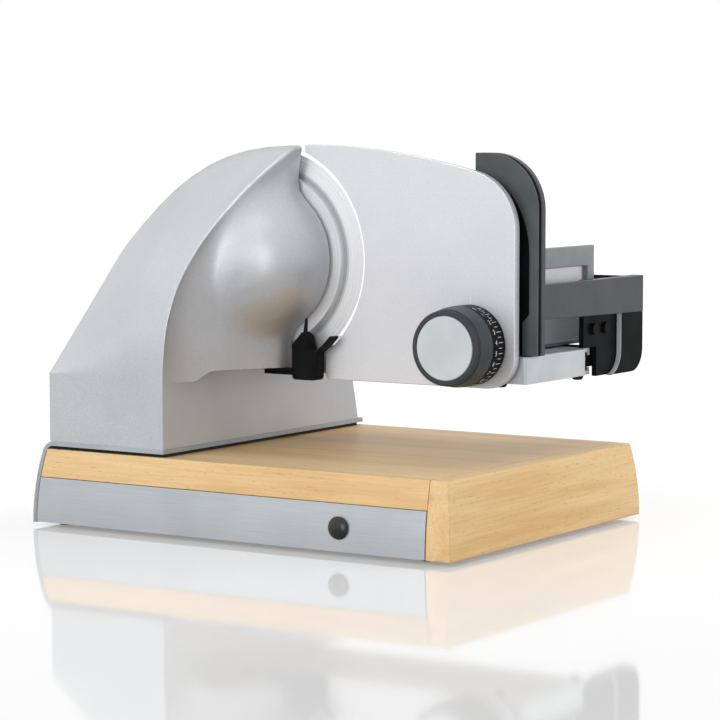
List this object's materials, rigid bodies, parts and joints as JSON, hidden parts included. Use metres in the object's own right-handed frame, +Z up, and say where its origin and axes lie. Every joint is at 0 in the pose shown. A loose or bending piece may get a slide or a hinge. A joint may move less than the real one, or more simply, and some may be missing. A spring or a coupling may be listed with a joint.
{
  "type": "electric food slicer",
  "caption": "Electric food slicer: round blade in a silver hooded tower, sliding gauge plate with thickness knob and food carriage, on a wooden base with a drawer.",
  "frame": {"origin": "centre of the bounding box at the table, under the feet", "axes": "+X to the right along the drawer front, +Y away from the user towards the food side, +Z up"},
  "size_m": [0.379, 0.3042, 0.2968],
  "materials": {
    "beech": "oiled",
    "hardboard": "plain",
    "black_rubber": "matt",
    "runner_plastic": "matt",
    "brushed_aluminium": "brushed",
    "drawer_sheet": "plain",
    "black_plastic": "satin",
    "screw_steel": "zinc plated",
    "silver_casting": "satin silver",
    "bronze": "sintered",
    "shaft_steel": "ground",
    "motor_iron": "laminated",
    "copper_wire": "enamelled",
    "white_plastic": "plain",
    "dark_plastic": "fine grained",
    "blade_steel": "polished, ground edge",
    "tray_steel": "brushed",
    "light_grey_plastic": "fine grained"
  },
  "bodies": {
    "base": {"top_board": "beech", "right_rail": "beech", "left_rail": "beech", "back_rail": "beech", "bottom_panel": "hardboard", "feet": "black_rubber", "drawer_runners": "runner_plastic", "base_plate": "brushed_aluminium", "plate_seal": "black_rubber", "plate_screws": "screw_steel", "housing": "silver_casting", "housing_screws": "screw_steel", "blade_bush": "bronze", "idler_pin": "shaft_steel", "motor_posts": "shaft_steel", "motor_shields": "motor_iron", "stator_core": "motor_iron", "windings": "copper_wire", "capacitor": "white_plastic", "capacitor_clip": "runner_plastic", "switch_block": "dark_plastic", "button_bezel": "black_plastic", "cord_gland": "black_plastic", "tip_guard": "black_plastic", "rail": "brushed_aluminium", "rail_caps": "light_grey_plastic", "rail_screws": "screw_steel", "rail_bumpers": "black_rubber", "guide_bushes": "bronze", "spindle_bracket": "shaft_steel", "spindle": "shaft_steel"},
    "drawer": {"drawer_front": "brushed_aluminium", "drawer_tray": "drawer_sheet", "drawer_knob": "black_plastic", "drawer_knob_screw": "screw_steel"},
    "start_button": {"start_button": "dark_plastic"},
    "blade": {"blade": "blade_steel", "blade_shaft": "shaft_steel", "blade_gear": "white_plastic", "blade_screw": "screw_steel"},
    "idler": {"idler_wheel": "white_plastic", "idler_pinion": "bronze"},
    "rotor": {"rotor_core": "motor_iron", "motor_shaft": "shaft_steel", "motor_pinion": "bronze", "cooling_fan": "dark_plastic"},
    "gauge_plate": {"gauge_plate": "silver_casting", "guide_rods": "shaft_steel", "knob_clip": "shaft_steel"},
    "knob": {"knob_grip": "dark_plastic", "knob_inlay": "light_grey_plastic", "scale_ring": "black_plastic"},
    "carriage": {"carriage_frame": "dark_plastic", "thumb_guard": "dark_plastic", "guard_core": "black_plastic", "slide_cover": "black_plastic", "inner_panel": "dark_plastic", "food_tray": "tray_steel", "carriage_shoe": "runner_plastic", "carriage_bolts": "dark_plastic"}
  },
  "joints": [
    {"name": "drawer_slide", "type": "slide", "parent": "base", "child": "drawer", "axis": [0, -1, 0], "range_m": [0, 0.2]},
    {"name": "button_press", "type": "slide", "parent": "base", "child": "start_button", "axis": [1, 0, 0], "range_m": [0, 0.003], "stiffness_N_per_m": 400},
    {"name": "blade_spin", "type": "hinge", "parent": "base", "child": "blade", "pos_m": [-0.0449, -0.0276, 0.2079], "axis": [0, 1, 0], "continuous": true},
    {"name": "idler_spin", "type": "hinge", "parent": "base", "child": "idler", "pos_m": [-0.07834, -0.0546, 0.17779], "axis": [0, 1, 0], "continuous": true},
    {"name": "motor_spin", "type": "hinge", "parent": "base", "child": "rotor", "pos_m": [-0.10605, -0.0946, 0.14233], "axis": [0, 1, 0], "continuous": true},
    {"name": "gauge_slide", "type": "slide", "parent": "base", "child": "gauge_plate", "axis": [0, -1, 0], "range_m": [0, 0.02]},
    {"name": "knob_turn", "type": "hinge", "parent": "gauge_plate", "child": "knob", "pos_m": [0.1392, -0.0346, 0.148], "axis": [0, 1, 0], "range_deg": [0, 330]},
    {"name": "carriage_slide", "type": "slide", "parent": "base", "child": "carriage", "axis": [-1, 0, 0], "range_m": [0, 0.185]}
  ],
  "couplings": [
    {"joint": "idler_spin", "follows": "blade_spin", "ratio": -4},
    {"joint": "motor_spin", "follows": "blade_spin", "ratio": 16},
    {"joint": "knob_turn", "follows": "gauge_slide", "rad_per_m": 287.98}
  ]
}
